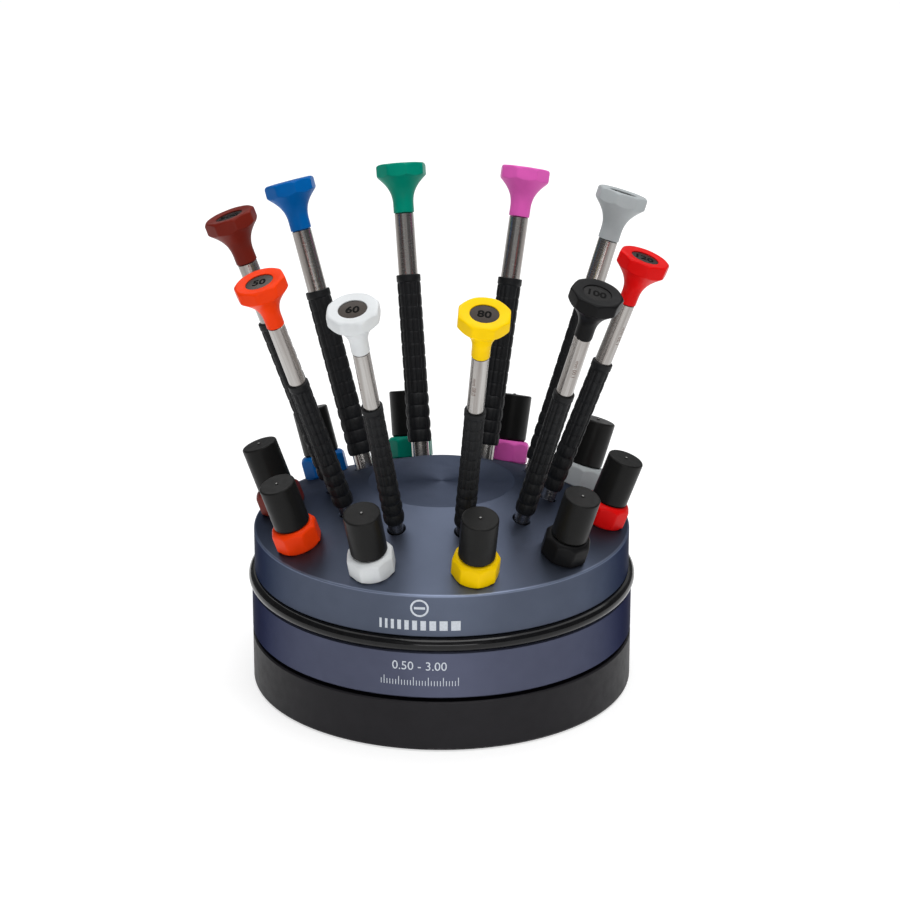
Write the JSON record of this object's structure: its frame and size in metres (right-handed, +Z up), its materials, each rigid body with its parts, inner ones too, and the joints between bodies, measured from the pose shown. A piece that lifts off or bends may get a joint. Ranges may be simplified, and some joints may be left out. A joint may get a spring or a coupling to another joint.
{
  "type": "precision screwdriver set",
  "caption": "Precision screwdrivers with coloured octagonal swivel heads and matching spare-blade vials, standing around a sloping turntable on a black base.",
  "frame": {"origin": "centre of the foot pad's underside, on the turntable's axis", "axes": "+Z up along the turntable's axis; -Y is the front, where the marked side faces; the first driver stands 18 degrees from the front towards +X"},
  "size_m": [0.1569, 0.1503, 0.1678],
  "materials": {
    "anodised": "blue-grey satin anodised",
    "base_black": "fine matt black",
    "rubber": "semi-matt black",
    "steel": "turned and polished",
    "screw_steel": "plain machined",
    "bronze": "sintered bronze",
    "washer_plastic": "smooth",
    "tube_black": "satin moulded",
    "plastic_yellow": "satin moulded",
    "plastic_black": "satin moulded",
    "plastic_red": "satin moulded",
    "plastic_grey": "satin moulded",
    "plastic_lilac": "satin moulded",
    "plastic_green": "satin moulded",
    "plastic_blue": "satin moulded",
    "plastic_brown": "satin moulded",
    "plastic_orange": "satin moulded",
    "plastic_white": "satin moulded"
  },
  "bodies": {
    "base": {"base_body": "base_black", "foot_pad": "rubber", "spindle_bush": "bronze", "thrust_washer": "washer_plastic"},
    "turntable": {"deck": "anodised", "lower_ring": "anodised", "grip_ring": "rubber", "ring_screws": "screw_steel", "spindle": "screw_steel", "retaining_screw": "screw_steel"},
    "yellow_driver": {"yellow_handle": "steel", "yellow_grip": "rubber"},
    "yellow_swivel": {"yellow_head": "plastic_yellow"},
    "yellow_vial": {"yellow_vial_stopper": "plastic_yellow"},
    "yellow_tube": {"yellow_vial_tube": "tube_black"},
    "black_driver": {"black_handle": "steel", "black_grip": "rubber"},
    "black_swivel": {"black_head": "plastic_black"},
    "black_vial": {"black_vial_stopper": "plastic_black"},
    "black_tube": {"black_vial_tube": "tube_black"},
    "red_driver": {"red_handle": "steel", "red_grip": "rubber"},
    "red_swivel": {"red_head": "plastic_red"},
    "red_vial": {"red_vial_stopper": "plastic_red"},
    "red_tube": {"red_vial_tube": "tube_black"},
    "grey_driver": {"grey_handle": "steel", "grey_grip": "rubber"},
    "grey_swivel": {"grey_head": "plastic_grey"},
    "grey_vial": {"grey_vial_stopper": "plastic_grey"},
    "grey_tube": {"grey_vial_tube": "tube_black"},
    "lilac_driver": {"lilac_handle": "steel", "lilac_grip": "rubber"},
    "lilac_swivel": {"lilac_head": "plastic_lilac"},
    "lilac_vial": {"lilac_vial_stopper": "plastic_lilac"},
    "lilac_tube": {"lilac_vial_tube": "tube_black"},
    "green_driver": {"green_handle": "steel", "green_grip": "rubber"},
    "green_swivel": {"green_head": "plastic_green"},
    "green_vial": {"green_vial_stopper": "plastic_green"},
    "green_tube": {"green_vial_tube": "tube_black"},
    "blue_driver": {"blue_handle": "steel", "blue_grip": "rubber"},
    "blue_swivel": {"blue_head": "plastic_blue"},
    "blue_vial": {"blue_vial_stopper": "plastic_blue"},
    "blue_tube": {"blue_vial_tube": "tube_black"},
    "brown_driver": {"brown_handle": "steel", "brown_grip": "rubber"},
    "brown_swivel": {"brown_head": "plastic_brown"},
    "brown_vial": {"brown_vial_stopper": "plastic_brown"},
    "brown_tube": {"brown_vial_tube": "tube_black"},
    "orange_driver": {"orange_handle": "steel", "orange_grip": "rubber"},
    "orange_swivel": {"orange_head": "plastic_orange"},
    "orange_vial": {"orange_vial_stopper": "plastic_orange"},
    "orange_tube": {"orange_vial_tube": "tube_black"},
    "white_driver": {"white_handle": "steel", "white_grip": "rubber"},
    "white_swivel": {"white_head": "plastic_white"},
    "white_vial": {"white_vial_stopper": "plastic_white"},
    "white_tube": {"white_vial_tube": "tube_black"}
  },
  "joints": [
    {"name": "turntable_spin", "type": "hinge", "parent": "base", "child": "turntable", "pos_m": [0, 0, 0.031], "axis": [0, 0, 1], "continuous": true},
    {"name": "yellow_driver_lift", "type": "slide", "parent": "turntable", "child": "yellow_driver", "axis": [0.1057, -0.3253, 0.9397], "range_m": [0, 0.08]},
    {"name": "yellow_head_spin", "type": "hinge", "parent": "yellow_driver", "child": "yellow_swivel", "pos_m": [0.01997, -0.06148, 0.1437], "axis": [0.1057, -0.3253, 0.9397], "continuous": true},
    {"name": "yellow_vial_lift", "type": "slide", "parent": "turntable", "child": "yellow_vial", "axis": [0.1057, -0.3253, 0.9397], "range_m": [0, 0.03]},
    {"name": "yellow_tube_pull", "type": "slide", "parent": "yellow_vial", "child": "yellow_tube", "axis": [0.1057, -0.3253, 0.9397], "range_m": [0, 0.03]},
    {"name": "black_driver_lift", "type": "slide", "parent": "turntable", "child": "black_driver", "axis": [0.2767, -0.201, 0.9397], "range_m": [0, 0.08]},
    {"name": "black_head_spin", "type": "hinge", "parent": "black_driver", "child": "black_swivel", "pos_m": [0.0523, -0.03799, 0.1437], "axis": [0.2767, -0.201, 0.9397], "continuous": true},
    {"name": "black_vial_lift", "type": "slide", "parent": "turntable", "child": "black_vial", "axis": [0.2767, -0.201, 0.9397], "range_m": [0, 0.03]},
    {"name": "black_tube_pull", "type": "slide", "parent": "black_vial", "child": "black_tube", "axis": [0.2767, -0.201, 0.9397], "range_m": [0, 0.03]},
    {"name": "red_driver_lift", "type": "slide", "parent": "turntable", "child": "red_driver", "axis": [0.342, 0, 0.9397], "range_m": [0, 0.08]},
    {"name": "red_head_spin", "type": "hinge", "parent": "red_driver", "child": "red_swivel", "pos_m": [0.06464, 0, 0.1437], "axis": [0.342, 0, 0.9397], "continuous": true},
    {"name": "red_vial_lift", "type": "slide", "parent": "turntable", "child": "red_vial", "axis": [0.342, 0, 0.9397], "range_m": [0, 0.03]},
    {"name": "red_tube_pull", "type": "slide", "parent": "red_vial", "child": "red_tube", "axis": [0.342, 0, 0.9397], "range_m": [0, 0.03]},
    {"name": "grey_driver_lift", "type": "slide", "parent": "turntable", "child": "grey_driver", "axis": [0.2767, 0.201, 0.9397], "range_m": [0, 0.08]},
    {"name": "grey_head_spin", "type": "hinge", "parent": "grey_driver", "child": "grey_swivel", "pos_m": [0.05523, 0.04013, 0.15366], "axis": [0.2767, 0.201, 0.9397], "continuous": true},
    {"name": "grey_vial_lift", "type": "slide", "parent": "turntable", "child": "grey_vial", "axis": [0.2767, 0.201, 0.9397], "range_m": [0, 0.03]},
    {"name": "grey_tube_pull", "type": "slide", "parent": "grey_vial", "child": "grey_tube", "axis": [0.2767, 0.201, 0.9397], "range_m": [0, 0.03]},
    {"name": "lilac_driver_lift", "type": "slide", "parent": "turntable", "child": "lilac_driver", "axis": [0.1057, 0.3253, 0.9397], "range_m": [0, 0.08]},
    {"name": "lilac_head_spin", "type": "hinge", "parent": "lilac_driver", "child": "lilac_swivel", "pos_m": [0.0211, 0.06492, 0.15366], "axis": [0.1057, 0.3253, 0.9397], "continuous": true},
    {"name": "lilac_vial_lift", "type": "slide", "parent": "turntable", "child": "lilac_vial", "axis": [0.1057, 0.3253, 0.9397], "range_m": [0, 0.03]},
    {"name": "lilac_tube_pull", "type": "slide", "parent": "lilac_vial", "child": "lilac_tube", "axis": [0.1057, 0.3253, 0.9397], "range_m": [0, 0.03]},
    {"name": "green_driver_lift", "type": "slide", "parent": "turntable", "child": "green_driver", "axis": [-0.1057, 0.3253, 0.9397], "range_m": [0, 0.08]},
    {"name": "green_head_spin", "type": "hinge", "parent": "green_driver", "child": "green_swivel", "pos_m": [-0.0211, 0.06492, 0.15366], "axis": [-0.1057, 0.3253, 0.9397], "continuous": true},
    {"name": "green_vial_lift", "type": "slide", "parent": "turntable", "child": "green_vial", "axis": [-0.1057, 0.3253, 0.9397], "range_m": [0, 0.03]},
    {"name": "green_tube_pull", "type": "slide", "parent": "green_vial", "child": "green_tube", "axis": [-0.1057, 0.3253, 0.9397], "range_m": [0, 0.03]},
    {"name": "blue_driver_lift", "type": "slide", "parent": "turntable", "child": "blue_driver", "axis": [-0.2767, 0.201, 0.9397], "range_m": [0, 0.08]},
    {"name": "blue_head_spin", "type": "hinge", "parent": "blue_driver", "child": "blue_swivel", "pos_m": [-0.05523, 0.04013, 0.15366], "axis": [-0.2767, 0.201, 0.9397], "continuous": true},
    {"name": "blue_vial_lift", "type": "slide", "parent": "turntable", "child": "blue_vial", "axis": [-0.2767, 0.201, 0.9397], "range_m": [0, 0.03]},
    {"name": "blue_tube_pull", "type": "slide", "parent": "blue_vial", "child": "blue_tube", "axis": [-0.2767, 0.201, 0.9397], "range_m": [0, 0.03]},
    {"name": "brown_driver_lift", "type": "slide", "parent": "turntable", "child": "brown_driver", "axis": [-0.342, 0, 0.9397], "range_m": [0, 0.08]},
    {"name": "brown_head_spin", "type": "hinge", "parent": "brown_driver", "child": "brown_swivel", "pos_m": [-0.06827, 0, 0.15366], "axis": [-0.342, 0, 0.9397], "continuous": true},
    {"name": "brown_vial_lift", "type": "slide", "parent": "turntable", "child": "brown_vial", "axis": [-0.342, 0, 0.9397], "range_m": [0, 0.03]},
    {"name": "brown_tube_pull", "type": "slide", "parent": "brown_vial", "child": "brown_tube", "axis": [-0.342, 0, 0.9397], "range_m": [0, 0.03]},
    {"name": "orange_driver_lift", "type": "slide", "parent": "turntable", "child": "orange_driver", "axis": [-0.2767, -0.201, 0.9397], "range_m": [0, 0.08]},
    {"name": "orange_head_spin", "type": "hinge", "parent": "orange_driver", "child": "orange_swivel", "pos_m": [-0.0523, -0.03799, 0.1437], "axis": [-0.2767, -0.201, 0.9397], "continuous": true},
    {"name": "orange_vial_lift", "type": "slide", "parent": "turntable", "child": "orange_vial", "axis": [-0.2767, -0.201, 0.9397], "range_m": [0, 0.03]},
    {"name": "orange_tube_pull", "type": "slide", "parent": "orange_vial", "child": "orange_tube", "axis": [-0.2767, -0.201, 0.9397], "range_m": [0, 0.03]},
    {"name": "white_driver_lift", "type": "slide", "parent": "turntable", "child": "white_driver", "axis": [-0.1057, -0.3253, 0.9397], "range_m": [0, 0.08]},
    {"name": "white_head_spin", "type": "hinge", "parent": "white_driver", "child": "white_swivel", "pos_m": [-0.01997, -0.06148, 0.1437], "axis": [-0.1057, -0.3253, 0.9397], "continuous": true},
    {"name": "white_vial_lift", "type": "slide", "parent": "turntable", "child": "white_vial", "axis": [-0.1057, -0.3253, 0.9397], "range_m": [0, 0.03]},
    {"name": "white_tube_pull", "type": "slide", "parent": "white_vial", "child": "white_tube", "axis": [-0.1057, -0.3253, 0.9397], "range_m": [0, 0.03]}
  ]
}
